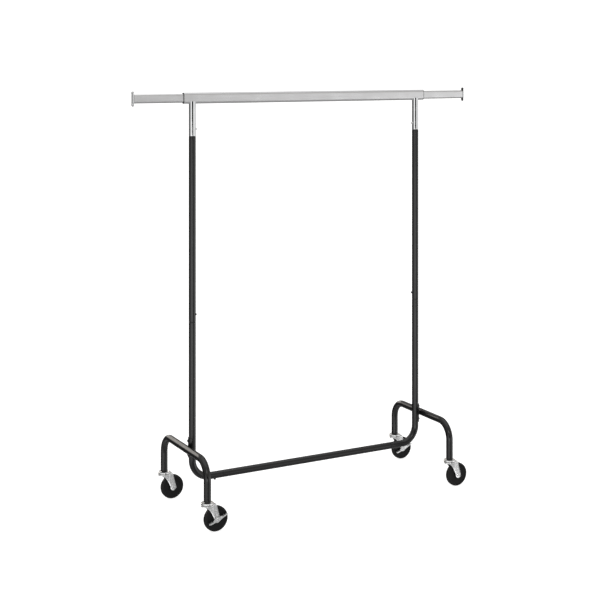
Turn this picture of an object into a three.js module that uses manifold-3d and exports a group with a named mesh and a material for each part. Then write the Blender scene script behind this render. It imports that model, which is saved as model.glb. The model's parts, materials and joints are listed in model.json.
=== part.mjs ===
// A rolling garment rail: a flat-oval hanging bar with pull-out ends, carried by two
// knock-down posts that run into a bottom rail, on two arched end frames with swivel casters.
// Millimetres, +X along the bar, +Z up, origin on the floor under the middle of the rail.
import * as THREE from "three";
import { mergeVertices } from "three/addons/utils/BufferGeometryUtils.js";
import Module from "manifold-3d";

const wasm = await Module();
wasm.setup();

// ---- driving dimensions ----
const HEIGHT = 1600; // floor to the top of the hanging bar; its end stops rise a little more
const SPAN_EXTENDED = 1500; // over both end stops, pulled out
const POST_SPACING = 1012; // between the post axes
const LEG_SPACING = 409; // between the two leg axes of an end frame

const GAP = 0.3; // clearance between pieces that touch
const TUBE_R = 13.5; // every round tube
const TUBE_WALL = 1.2;
const NECK_R = 11.8; // the reduced end that plugs into the next tube
const TUBE_SEGMENTS = 8; // half the sides of a round tube
const BEND_STEPS = 5;

const RAIL_Z = 134.5; // bottom rail axis
const POST_BEND_R = 70;
const FRAME_TOP_Z = 254; // end frame's top tube axis
const FRAME_BEND_R = 66;
const LEG_END_Z = 116;

const POST_TOP_SEAM_Z = 1435.5; // chrome post above, black post below
const POST_MID_SEAM_Z = 730;
const POST_BUTTON_RISE = 27; // a post's snap button above its seam
const POST_NECK = 46; // length of neck above a seam
const RAIL_SEAM_X = 381;
const RAIL_BUTTON_SETBACK = 31; // the rail's snap button outside its seam
const RAIL_NECK = 48;

const BAR_HALF = 542.5; // half the main bar
const BAR_H = 42;
const BAR_D = 18;
const BAR_WALL = 1.2;
const BAR_Z = HEIGHT - BAR_H / 2;
const POST_COPE_RISE = 10; // how far the coped post laps over the bar's sides

const EXT_H = 34; // pull-out end, a smaller flat oval
const EXT_D = 13;
const EXT_WALL = 1.2;
const EXT_LENGTH = 330;
const STOP_H = 57;
const STOP_D = 12;
const STOP_T = 6;

const BUTTON_R = 4;
const BUTTON_PROUD = 4;

const SADDLE_H = 74;
const SADDLE_T = 2.6;
const SADDLE_SWEEP = THREE.MathUtils.degToRad(70); // each way from the middle
const BOLT_OFFSET = 26; // bolts above and below the end frame's top tube
const BOLT_R = 3;

const WHEEL_R = 46.5;
const WHEEL_HALF = 10.5;
const WHEEL_SIDES = 24;
const TRAIL = 33; // axle behind the swivel axis
const AXLE_R = 4;
const BUSH_R = 6.2; // bore of the wheel, round its bush
const CAP_TOP_Z = 110.4; // fixed race cap above the fork's crown
const CAP_R = 24;
const CROWN_Z = 102.5; // top of the fork's crown
const CROWN_R = 23.5;
const CROWN_BACK = 33; // how far the crown reaches towards the wheel
const CHEEK_OUT = 15; // outer face of a fork cheek from the wheel's middle
const SHEET_T = 2.2;
const HUB_HALF = CHEEK_OUT - SHEET_T - GAP;
const KINGPIN_R = 4;
const STEM_R = 5;
const LEVER_T = 2;
const LEVER_SLOPE = THREE.MathUtils.degToRad(17);

const POST_X = POST_SPACING / 2;
const FRAME_X = POST_X + TUBE_R + GAP + SADDLE_T + GAP + TUBE_R;
const LEG_Y = LEG_SPACING / 2;
const STOP_X = SPAN_EXTENDED / 2 - STOP_T; // inner face of an end stop

// ---- materials ----
const finish = (color, roughness, metalness) =>
  new THREE.MeshStandardMaterial({ color, roughness, metalness });
const BLACK_COAT = finish(0x232426, 0.45, 0.3);
const CHROME = finish(0xe4e6e8, 0.08, 1);
const SATIN_STEEL = finish(0xc6c8ca, 0.35, 0.9);
const ZINC = finish(0xc4c6c4, 0.3, 0.9);
const BLACK_PLASTIC = finish(0x1b1b1c, 0.5, 0);
const WHEEL_BLACK = finish(0x1f1f20, 0.6, 0);
const BRIGHT_STEEL = finish(0xd2d4d6, 0.2, 1);

// ---- geometry helpers ----
// A closed geometry as a solid that can be joined and cut.
function solid(geometry) {
  const bare = geometry.clone();
  bare.deleteAttribute("normal");
  bare.deleteAttribute("uv");
  const merged = mergeVertices(bare, 1e-4);
  return new wasm.Manifold(
    new wasm.Mesh({
      numProp: 3,
      vertProperties: merged.attributes.position.array,
      triVerts: new Uint32Array(merged.index.array),
    }),
  );
}

// The mesh geometry of a joined or cut solid.
function surface(body) {
  const { vertProperties, triVerts } = body.getMesh();
  return new THREE.BufferGeometry()
    .setAttribute("position", new THREE.BufferAttribute(vertProperties, 3))
    .setIndex(new THREE.BufferAttribute(triVerts, 1));
}

const join = (first, ...rest) =>
  surface(rest.reduce((sum, g) => sum.add(solid(g)), solid(first)));
const cut = (first, ...rest) =>
  surface(rest.reduce((left, g) => left.subtract(solid(g)), solid(first)));
const common = (a, b) => surface(solid(a).intersect(solid(b)));

// A profile of [radius, height] pairs turned about Z, starting and ending on the axis or on itself.
function turned(profile, sides, start = 0) {
  const points = profile.map(([r, h]) => new THREE.Vector2(r, h));
  const loop = THREE.ShapeUtils.area(points) < 0 ? points.reverse() : points;
  return new THREE.LatheGeometry(loop, sides, start).rotateX(Math.PI / 2);
}

const aimX = (geometry) => geometry.rotateY(Math.PI / 2); // +Z to +X
const aimY = (geometry) => geometry.rotateX(-Math.PI / 2); // +Z to +Y

// A closed ring profile: a hollow cylinder's wall.
const wall = (inner, outer, low, high) => [
  [inner, low],
  [outer, low],
  [outer, high],
  [inner, high],
  [inner, low],
];

// A solid round rod along Z.
const rod = (r, low, high, sides = 12) =>
  new THREE.CylinderGeometry(r, r, high - low, sides)
    .rotateX(Math.PI / 2)
    .translate(0, 0, (low + high) / 2);

const box = (x0, x1, y0, y1, z0, z1) =>
  new THREE.BoxGeometry(x1 - x0, y1 - y0, z1 - z0).translate(
    (x0 + x1) / 2,
    (y0 + y1) / 2,
    (z0 + z1) / 2,
  );

// A tall flat oval, height along the shape's Y.
function oval(height, depth) {
  const r = depth / 2;
  const rise = height / 2 - r;
  return new THREE.Shape()
    .absarc(0, rise, r, 0, Math.PI)
    .absarc(0, -rise, r, Math.PI, 2 * Math.PI)
    .closePath();
}

// A shape standing in the Y-Z plane, pushed along X from x0 to x1.
function alongX(shape, x0, x1, curveSegments = 4) {
  const turn = new THREE.Matrix4().makeBasis(
    new THREE.Vector3(0, 1, 0),
    new THREE.Vector3(0, 0, 1),
    new THREE.Vector3(1, 0, 0),
  );
  return new THREE.ExtrudeGeometry(shape, {
    depth: x1 - x0,
    bevelEnabled: false,
    curveSegments,
  })
    .applyMatrix4(turn)
    .translate(x0, 0, 0);
}

// A shape drawn in the X-Z plane, with its thickness from y0 to y1.
const alongY = (shape, y0, y1, curveSegments = 6) =>
  new THREE.ExtrudeGeometry(shape, {
    depth: y1 - y0,
    bevelEnabled: false,
    curveSegments,
  })
    .rotateX(Math.PI / 2)
    .translate(0, y1, 0);

// A flat shape in the X-Y plane, from z0 up to z1.
const alongZ = (shape, z0, z1, curveSegments = 6) =>
  new THREE.ExtrudeGeometry(shape, {
    depth: z1 - z0,
    bevelEnabled: false,
    curveSegments,
  }).translate(0, 0, z0);

function hollowOvalX(height, depth, thickness, x0, x1) {
  const section = oval(height, depth);
  section.holes.push(oval(height - 2 * thickness, depth - 2 * thickness));
  return alongX(section, x0, x1);
}

// A bent centreline that is sampled only where it changes direction.
class BentLine extends THREE.Curve {
  constructor(stations) {
    super();
    this.stations = stations;
  }
  station(t) {
    return this.stations[Math.round(t * (this.stations.length - 1))];
  }
  getPoint(t) {
    return this.station(t).point.clone();
  }
  getTangent(t) {
    return this.station(t).along.clone();
  }
  getUtoTmapping(u) {
    return u;
  }
}

// Stations along straight runs and rounded corners through the given points.
function route(corners, bendR) {
  const stations = [];
  const last = corners.length - 1;
  const heading = (i) => corners[i + 1].clone().sub(corners[i]).normalize();
  stations.push({ point: corners[0], along: heading(0) });
  for (let i = 1; i < last; i++) {
    const before = heading(i - 1);
    const after = heading(i);
    const setback = bendR * Math.tan(before.angleTo(after) / 2);
    const start = corners[i].clone().addScaledVector(before, -setback);
    const inward = after
      .clone()
      .addScaledVector(before, -after.dot(before))
      .normalize();
    const centre = start.clone().addScaledVector(inward, bendR);
    const turn = before.angleTo(after);
    for (let k = 0; k <= BEND_STEPS; k++) {
      const a = (turn * k) / BEND_STEPS;
      stations.push({
        point: centre
          .clone()
          .addScaledVector(inward, -bendR * Math.cos(a))
          .addScaledVector(before, bendR * Math.sin(a)),
        along: before
          .clone()
          .multiplyScalar(Math.cos(a))
          .addScaledVector(inward, Math.sin(a)),
      });
    }
  }
  stations.push({ point: corners[last], along: heading(last - 1) });
  return new BentLine(stations);
}

// Round tube bent along a route.
function bentTube(corners, bendR) {
  const section = new THREE.Shape().absarc(0, 0, TUBE_R, 0, 2 * Math.PI);
  const bore = new THREE.Path().absarc(
    0,
    0,
    TUBE_R - TUBE_WALL,
    0,
    2 * Math.PI,
  );
  section.holes.push(bore);
  const path = route(corners, bendR);
  return new THREE.ExtrudeGeometry(section, {
    steps: path.stations.length - 1,
    curveSegments: TUBE_SEGMENTS,
    extrudePath: path,
  });
}

const straightTube = (low, high) =>
  turned(wall(TUBE_R - TUBE_WALL, TUBE_R, low, high), 2 * TUBE_SEGMENTS);

// The reduced end of a tube: a collar held in the tube's wall, and the neck above it.
function neck(seam, length) {
  const bore = NECK_R - TUBE_WALL;
  return turned(
    [
      [bore, seam - 8],
      [TUBE_R - TUBE_WALL / 2, seam - 8],
      [TUBE_R - TUBE_WALL / 2, seam - 0.2],
      [NECK_R, seam - 0.2],
      [NECK_R, seam + length],
      [bore, seam + length],
      [bore, seam - 8],
    ],
    2 * TUBE_SEGMENTS,
  );
}

// ---- scene ----
const rail = new THREE.Group();

function add(parent, name, geometry, material, position = [0, 0, 0]) {
  const mesh = new THREE.Mesh(geometry, material);
  mesh.name = name;
  mesh.position.set(...position);
  parent.add(mesh);
}

// ---- posts, bottom rail and their snap buttons ----
// A hole through one side of a tube that runs up Z, towards side * X.
const sideHole = (side, z, r, from, to) =>
  aimX(rod(r, from, to)).scale(side, side, 1).translate(0, 0, z);

const inwardHole = (side, z) =>
  sideHole(-side, z, BUTTON_R + GAP, 4, TUBE_R + 2);

// Snap button with its retaining flange; it points along +Z from the tube's axis.
const snapButton = () =>
  turned(
    [
      [0, 7.2],
      [5.2, 7.2],
      [5.2, 8.4],
      [BUTTON_R, 8.4],
      [BUTTON_R, TUBE_R + BUTTON_PROUD - 1.6],
      [BUTTON_R * 0.72, TUBE_R + BUTTON_PROUD - 0.4],
      [0, TUBE_R + BUTTON_PROUD],
    ],
    10,
  );

function lowerPost(side) {
  const top = POST_MID_SEAM_Z;
  const bend = bentTube(
    [
      new THREE.Vector3(side * POST_X, 0, top),
      new THREE.Vector3(side * POST_X, 0, RAIL_Z),
      new THREE.Vector3(side * RAIL_SEAM_X, 0, RAIL_Z),
    ],
    POST_BEND_R,
  );
  const plug = neck(top, POST_NECK).translate(side * POST_X, 0, 0);
  const holes = [
    inwardHole(side, top + POST_BUTTON_RISE).translate(side * POST_X, 0, 0),
    rod(BUTTON_R + GAP, -TUBE_R - 2, 0).translate(
      side * (RAIL_SEAM_X + RAIL_BUTTON_SETBACK),
      0,
      RAIL_Z,
    ),
  ];
  const weldNuts = [];
  for (const rise of [-BOLT_OFFSET, BOLT_OFFSET]) {
    const z = FRAME_TOP_Z + rise;
    const place = (g) => g.translate(side * POST_X, 0, 0);
    weldNuts.push(place(sideHole(side, z, 6, 7, 11.4)));
    holes.push(place(sideHole(side, z, BOLT_R + GAP, 4, TUBE_R + 3)));
  }
  return cut(join(bend, plug, ...weldNuts), ...holes);
}

function upperPost(side) {
  const low = POST_MID_SEAM_Z + GAP;
  const high = POST_TOP_SEAM_Z;
  return cut(
    join(straightTube(low, high), neck(high, POST_NECK)),
    inwardHole(side, POST_MID_SEAM_Z + POST_BUTTON_RISE),
    inwardHole(side, high + POST_BUTTON_RISE),
  );
}

function chromePost(side) {
  const low = POST_TOP_SEAM_Z + GAP;
  const high = BAR_Z - BAR_H / 2 + POST_COPE_RISE;
  const barSpace = alongX(
    oval(BAR_H + 2 * GAP, BAR_D + 2 * GAP),
    -2 * TUBE_R,
    2 * TUBE_R,
  ).translate(0, 0, BAR_Z);
  return cut(
    straightTube(low, high),
    barSpace,
    inwardHole(side, POST_TOP_SEAM_Z + POST_BUTTON_RISE),
  );
}

function bottomRail() {
  const half = RAIL_SEAM_X - GAP;
  const tube = aimX(straightTube(-half, half));
  const ends = [1, -1].map((side) =>
    aimX(neck(half, RAIL_NECK)).rotateZ(side > 0 ? 0 : Math.PI),
  );
  const holes = [1, -1].map((side) =>
    rod(BUTTON_R + GAP, -TUBE_R, 0).translate(
      side * (RAIL_SEAM_X + RAIL_BUTTON_SETBACK),
      0,
      0,
    ),
  );
  return cut(join(tube, ...ends), ...holes);
}

// ---- end frames and the saddles that bolt them to the posts ----
function endFrame(side) {
  const x = side * FRAME_X;
  return bentTube(
    [
      new THREE.Vector3(x, -LEG_Y, LEG_END_Z),
      new THREE.Vector3(x, -LEG_Y, FRAME_TOP_Z),
      new THREE.Vector3(x, LEG_Y, FRAME_TOP_Z),
      new THREE.Vector3(x, LEG_Y, LEG_END_Z),
    ],
    FRAME_BEND_R,
  );
}

// A curved plate round the post's outer side, opening towards -X before it is turned to its side.
function saddle(side) {
  const inner = TUBE_R + GAP;
  const outer = inner + SADDLE_T;
  const half = SADDLE_H / 2;
  const corner = 9;
  const band = new THREE.Shape()
    .absarc(0, 0, outer, -SADDLE_SWEEP, SADDLE_SWEEP)
    .absarc(0, 0, inner, SADDLE_SWEEP, -SADDLE_SWEEP, true)
    .closePath();
  const width = outer + 1;
  const outline = new THREE.Shape()
    .absarc(width - corner, half - corner, corner, 0, Math.PI / 2)
    .absarc(corner - width, half - corner, corner, Math.PI / 2, Math.PI)
    .absarc(corner - width, corner - half, corner, Math.PI, 1.5 * Math.PI)
    .absarc(width - corner, corner - half, corner, 1.5 * Math.PI, 2 * Math.PI)
    .closePath();
  const plate = common(
    alongZ(band, -half, half, 8),
    alongX(outline, 0, outer + 2, 3),
  );
  const holes = [-BOLT_OFFSET, BOLT_OFFSET].map((z) =>
    aimX(rod(BOLT_R + GAP, 0, 2 * TUBE_R)).translate(0, 0, z),
  );
  return cut(plate, ...holes).rotateZ(side > 0 ? 0 : Math.PI);
}

// A domed-head bolt pointing out along +X from the post's axis.
function saddleBolt(side) {
  const seat = TUBE_R + SADDLE_T + 2 * GAP;
  const bolt = turned(
    [
      [0, 6],
      [BOLT_R, 6],
      [BOLT_R, seat],
      [5.5, seat],
      [5.5, seat + 1.6],
      [3.6, seat + 3.4],
      [0, seat + 3.8],
    ],
    12,
  );
  return aimX(bolt).rotateZ(side > 0 ? 0 : Math.PI);
}

// ---- hanging bar with its pull-out ends ----
function barBush(side) {
  const inner = oval(EXT_H + 2 * GAP, EXT_D + 2 * GAP);
  const sleeve = oval(
    BAR_H - 2 * (BAR_WALL + GAP),
    BAR_D - 2 * (BAR_WALL + GAP),
  );
  const bush = cut(
    join(
      alongX(oval(BAR_H, BAR_D), BAR_HALF + GAP, BAR_HALF + 2.2),
      alongX(sleeve, BAR_HALF - 24, BAR_HALF + 1),
    ),
    alongX(inner, BAR_HALF - 30, BAR_HALF + 5),
  );
  return bush.rotateZ(side > 0 ? 0 : Math.PI);
}

function extension(side) {
  const outer = STOP_X - GAP;
  const tube = hollowOvalX(EXT_H, EXT_D, EXT_WALL, outer - EXT_LENGTH, outer);
  return tube.rotateZ(side > 0 ? 0 : Math.PI);
}

// Plastic glide on the pull-out's inner end: a head that fills the bar and a spigot in the tube.
function glide(side) {
  const seat = STOP_X - GAP - EXT_LENGTH - GAP;
  const head = oval(BAR_H - 2 * BAR_WALL - 2 * GAP, BAR_D - 2 * BAR_WALL - 2 * GAP);
  const spigot = oval(
    EXT_H - 2 * (EXT_WALL + GAP),
    EXT_D - 2 * (EXT_WALL + GAP),
  );
  return join(
    alongX(head, seat - 25, seat, 3),
    alongX(spigot, seat - 5, seat + 15, 3),
  ).rotateZ(side > 0 ? 0 : Math.PI);
}

function endStop(side) {
  const plate = new THREE.ExtrudeGeometry(oval(STOP_H - 2, STOP_D - 2), {
    depth: STOP_T - 2,
    bevelThickness: 1,
    bevelSize: 1,
    bevelSegments: 1,
    curveSegments: 5,
  }).translate(0, 0, 1);
  const upright = plate.applyMatrix4(
    new THREE.Matrix4().makeBasis(
      new THREE.Vector3(0, 1, 0),
      new THREE.Vector3(0, 0, 1),
      new THREE.Vector3(1, 0, 0),
    ),
  );
  const spigot = oval(
    EXT_H - 2 * (EXT_WALL + GAP),
    EXT_D - 2 * (EXT_WALL + GAP),
  );
  return join(
    upright.translate(STOP_X, 0, 0),
    alongX(spigot, STOP_X - 14, STOP_X + 2, 3),
  ).rotateZ(side > 0 ? 0 : Math.PI);
}

// ---- casters, drawn about the swivel axis with the wheel trailing towards +X ----
// Plastic plug in the foot of a leg, bored for the caster's stem.
const legPlug = () =>
  turned(
    [
      [STEM_R + GAP, LEG_END_Z - 4.4],
      [TUBE_R, LEG_END_Z - 4.4],
      [TUBE_R, LEG_END_Z - GAP],
      [NECK_R, LEG_END_Z - GAP],
      [NECK_R, LEG_END_Z + 30],
      [STEM_R + GAP, LEG_END_Z + 30],
      [STEM_R + GAP, LEG_END_Z - 4.4],
    ],
    12,
  );

// Stem, fixed race cap and the kingpin, riveted over under the crown.
const casterStem = () =>
  turned(
    [
      [0, CROWN_Z - 4.6],
      [6.5, CROWN_Z - 4.6],
      [6.5, CROWN_Z - SHEET_T - GAP],
      [KINGPIN_R, CROWN_Z - SHEET_T - GAP],
      [KINGPIN_R, CAP_TOP_Z - 2],
      [CAP_R - 2, CAP_TOP_Z - 2],
      [CAP_R - 2, CROWN_Z + 1.8],
      [CAP_R, CROWN_Z + 1.8],
      [CAP_R, CAP_TOP_Z - 2.5],
      [CAP_R - 3, CAP_TOP_Z],
      [9, CAP_TOP_Z + 0.8],
      [STEM_R, CAP_TOP_Z + 0.8],
      [STEM_R, LEG_END_Z + 24],
      [0, LEG_END_Z + 24],
    ],
    12,
  );

// The ring of balls between the crown and the race cap.
const ballRace = () =>
  new THREE.TorusGeometry(16, 2.2, 6, 16).translate(0, 0, CROWN_Z + 2.8);

// Side of the fork: a sheet that curves in from the crown to a round tip at the axle.
function cheek(y0, y1) {
  const tip = 12.5;
  const side = new THREE.Shape()
    .moveTo(-17, CROWN_Z - 1)
    .lineTo(-17, CROWN_Z - 4)
    .quadraticCurveTo(0, 88, TRAIL - tip + 0.8, WHEEL_R + 4.3)
    .absarc(TRAIL, WHEEL_R, tip, 0.89 * Math.PI, 2.05 * Math.PI)
    .lineTo(CROWN_BACK, CROWN_Z - 1)
    .closePath();
  return alongY(side, y0, y1, 4);
}

// Crown seen from above: round at the front, squared towards the wheel.
function crownOutline() {
  const start = Math.asin(CHEEK_OUT / CROWN_R);
  return new THREE.Shape()
    .absarc(0, 0, CROWN_R, start, 2 * Math.PI - start)
    .lineTo(CROWN_BACK, -CHEEK_OUT)
    .lineTo(CROWN_BACK, CHEEK_OUT)
    .closePath();
}

function fork() {
  const lipSweep = 0.68 * Math.PI;
  const lip = new THREE.Shape()
    .absarc(0, 0, CROWN_R, Math.PI - lipSweep / 2, Math.PI + lipSweep / 2)
    .absarc(
      0,
      0,
      CROWN_R - SHEET_T,
      Math.PI + lipSweep / 2,
      Math.PI - lipSweep / 2,
      true,
    )
    .closePath();
  const inner = CHEEK_OUT - SHEET_T;
  return cut(
    join(
      alongZ(crownOutline(), CROWN_Z - SHEET_T, CROWN_Z, 6),
      alongZ(lip, CROWN_Z - 6, CROWN_Z - 1, 5),
      cheek(inner, CHEEK_OUT),
      cheek(-CHEEK_OUT, -inner),
    ),
    rod(KINGPIN_R + GAP, 0, CROWN_Z + 5),
    aimY(rod(AXLE_R + GAP, -30, 30)).translate(TRAIL, 0, WHEEL_R),
  );
}

// Riveted axle: dimpled heads outside whatever it holds together.
function axle(front) {
  const back = CHEEK_OUT + GAP;
  const rivet = turned(
    [
      [0, -front - 1],
      [2.2, -front - 2],
      [5.5, -front - 1.6],
      [6, -front],
      [AXLE_R, -front],
      [AXLE_R, back],
      [6, back],
      [5.5, back + 1.6],
      [2.2, back + 2],
      [0, back + 1],
    ],
    10,
  );
  return aimY(rivet);
}

// Moulded wheel with a long hub; a flat of its faceted tread faces down.
function wheel() {
  const h = WHEEL_HALF;
  const r = WHEEL_R / Math.cos(Math.PI / WHEEL_SIDES);
  const half = [
    [BUSH_R, HUB_HALF],
    [10, HUB_HALF],
    [10, h],
    [r - 4, h],
    [r, h - 4.5],
  ];
  const mirrored = half.map(([a, b]) => [a, -b]).reverse();
  const profile = [...half, ...mirrored, half[0]];
  return aimY(turned(profile, WHEEL_SIDES, Math.PI / WHEEL_SIDES));
}

// Sleeve that the wheel turns on.
const wheelBush = () =>
  aimY(turned(wall(AXLE_R + GAP, BUSH_R - GAP, -HUB_HALF, HUB_HALF), 10));

// Rocking brake lever with a tread folded out at each end, drawn about the axle.
function brakeLever() {
  const plate = new THREE.Shape()
    .absarc(0, 0, 10.5, 0.2 * Math.PI, 0.86 * Math.PI)
    .lineTo(-36, 1)
    .lineTo(-36, -4)
    .lineTo(-31, -6.5)
    .lineTo(-13, -6.5)
    .absarc(0, 0, 10.5, 1.25 * Math.PI, 1.7 * Math.PI)
    .lineTo(38, -2.5)
    .lineTo(43, 0)
    .lineTo(43, 5.5)
    .closePath();
  const face = -CHEEK_OUT - GAP;
  const lever = cut(
    join(
      alongY(plate, face - LEVER_T, face, 4),
      box(-36, -17, face - 10, face - LEVER_T / 2, -0.9, 0.9),
      box(20, 43, face - 10, face - LEVER_T / 2, 3.7, 5.5),
    ),
    aimY(rod(AXLE_R + GAP, -40, 40)),
  );
  return lever.rotateY(-LEVER_SLOPE);
}

// ---- assembly ----
const SIDES = [
  ["left", -1],
  ["right", 1],
];
const BRAKED = ["front_left", "rear_right"];

add(rail, "bottom_rail", bottomRail(), BLACK_COAT, [0, 0, RAIL_Z]);
add(
  rail,
  "hanging_bar",
  hollowOvalX(BAR_H, BAR_D, BAR_WALL, -BAR_HALF, BAR_HALF),
  SATIN_STEEL,
  [0, 0, BAR_Z],
);

for (const [name, side] of SIDES) {
  const x = side * POST_X;
  const towardsMiddle = () =>
    aimX(snapButton()).rotateZ(side > 0 ? Math.PI : 0);
  add(rail, `lower_post_${name}`, lowerPost(side), BLACK_COAT);
  add(rail, `upper_post_${name}`, upperPost(side), BLACK_COAT, [x, 0, 0]);
  add(rail, `chrome_post_${name}`, chromePost(side), CHROME, [x, 0, 0]);
  add(rail, `post_top_button_${name}`, towardsMiddle(), BRIGHT_STEEL, [
    x,
    0,
    POST_TOP_SEAM_Z + POST_BUTTON_RISE,
  ]);
  add(rail, `post_mid_button_${name}`, towardsMiddle(), BLACK_COAT, [
    x,
    0,
    POST_MID_SEAM_Z + POST_BUTTON_RISE,
  ]);
  add(rail, `rail_button_${name}`, snapButton().rotateX(Math.PI), BLACK_COAT, [
    side * (RAIL_SEAM_X + RAIL_BUTTON_SETBACK),
    0,
    RAIL_Z,
  ]);

  add(rail, `bar_bush_${name}`, barBush(side), BLACK_PLASTIC, [0, 0, BAR_Z]);
  add(rail, `bar_extension_${name}`, extension(side), SATIN_STEEL, [0, 0, BAR_Z]);
  add(rail, `extension_glide_${name}`, glide(side), BLACK_PLASTIC, [0, 0, BAR_Z]);
  add(rail, `end_stop_${name}`, endStop(side), CHROME, [0, 0, BAR_Z]);

  add(rail, `end_frame_${name}`, endFrame(side), BLACK_COAT);
  add(rail, `saddle_plate_${name}`, saddle(side), BLACK_COAT, [x, 0, FRAME_TOP_Z]);
  for (const [where, rise] of [
    ["upper", BOLT_OFFSET],
    ["lower", -BOLT_OFFSET],
  ]) {
    const at = [x, 0, FRAME_TOP_Z + rise];
    add(rail, `saddle_bolt_${where}_${name}`, saddleBolt(side), BLACK_COAT, at);
  }

  for (const [end, depth] of [
    ["front", -1],
    ["rear", 1],
  ]) {
    const id = `${end}_${name}`;
    const braked = BRAKED.includes(id);
    const caster = new THREE.Group();
    caster.position.set(side * FRAME_X, depth * LEG_Y, 0);
    rail.add(caster);
    const hub = [TRAIL, 0, WHEEL_R];
    const rivetFront = CHEEK_OUT + GAP + (braked ? LEVER_T + GAP : 0);
    add(caster, `leg_plug_${id}`, legPlug(), BLACK_PLASTIC);
    add(caster, `caster_stem_${id}`, casterStem(), ZINC);
    add(caster, `ball_race_${id}`, ballRace(), BRIGHT_STEEL);
    add(caster, `caster_fork_${id}`, fork(), ZINC);
    add(caster, `axle_${id}`, axle(rivetFront), ZINC, hub);
    add(caster, `wheel_${id}`, wheel(), WHEEL_BLACK, hub);
    add(caster, `wheel_bush_${id}`, wheelBush(), BLACK_PLASTIC, hub);
    if (braked) add(caster, `brake_lever_${id}`, brakeLever(), ZINC, hub);
  }
}

export default rail;
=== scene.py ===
"""Looks of a rolling garment rail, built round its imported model.

Shapes are in millimetres until they become meshes."""

import json
import math

import bmesh
import bpy
import numpy as np
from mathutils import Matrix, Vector


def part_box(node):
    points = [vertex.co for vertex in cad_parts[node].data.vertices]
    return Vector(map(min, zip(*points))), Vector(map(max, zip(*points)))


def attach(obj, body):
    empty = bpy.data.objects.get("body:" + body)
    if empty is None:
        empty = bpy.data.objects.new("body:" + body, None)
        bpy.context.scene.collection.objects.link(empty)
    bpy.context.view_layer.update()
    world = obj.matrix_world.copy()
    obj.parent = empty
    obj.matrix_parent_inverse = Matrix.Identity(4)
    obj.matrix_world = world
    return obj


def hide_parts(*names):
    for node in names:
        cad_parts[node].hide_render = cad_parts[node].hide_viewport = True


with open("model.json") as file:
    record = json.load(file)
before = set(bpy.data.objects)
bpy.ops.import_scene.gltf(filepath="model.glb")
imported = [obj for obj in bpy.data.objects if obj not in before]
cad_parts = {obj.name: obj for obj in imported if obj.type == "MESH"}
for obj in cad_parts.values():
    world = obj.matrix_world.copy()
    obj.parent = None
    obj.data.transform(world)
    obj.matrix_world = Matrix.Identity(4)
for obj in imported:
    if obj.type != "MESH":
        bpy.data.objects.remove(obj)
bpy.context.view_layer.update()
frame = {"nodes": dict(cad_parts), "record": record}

MM = 0.001
record = frame["record"]
BODY_OF = {n: b for b, members in record["behaviour"]["bodies"].items() for n in members}
SLOT_OF = {s["node"]: s["material_slot"] for s in record["subparts"]}
SIDES = {"left": -1, "right": 1}
ENDS = {"front": -1, "rear": 1}
BRAKED = ("front_left", "rear_right")


# ---- places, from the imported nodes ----
def low(node):
    return np.array(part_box(node)[0]) / MM


def high(node):
    return np.array(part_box(node)[1]) / MM


def middle(node):
    return (low(node) + high(node)) / 2


POST_X = middle("upper_post_right")[0]
TUBE_R = (high("bottom_rail")[1] - low("bottom_rail")[1]) / 2
WALL = 1.2
NECK_R = 11.8
RAIL_Z = middle("bottom_rail")[2]
RAIL_SEAM_X = low("lower_post_right")[0]
POST_BEND_R = 70
FRAME_X = middle("end_frame_right")[0]
FRAME_TOP_Z = high("end_frame_right")[2] - TUBE_R
FRAME_BEND_R = 66
LEG_Y = high("end_frame_right")[1] - TUBE_R
LEG_END_Z = low("end_frame_right")[2]
MID_SEAM_Z = low("upper_post_right")[2]
TOP_SEAM_Z = low("chrome_post_right")[2]
COPE_Z = high("chrome_post_right")[2]
BAR_LOW, BAR_HIGH = low("hanging_bar"), high("hanging_bar")
BAR_Z = middle("hanging_bar")[2]
BAR_H = BAR_HIGH[2] - BAR_LOW[2]
BAR_D = BAR_HIGH[1] - BAR_LOW[1]
EXT_H = high("bar_extension_right")[2] - low("bar_extension_right")[2]
EXT_D = high("bar_extension_right")[1] - low("bar_extension_right")[1]
WHEEL_R = 46.5
TRAIL = 33
CHEEK_OUT = 15


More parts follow.
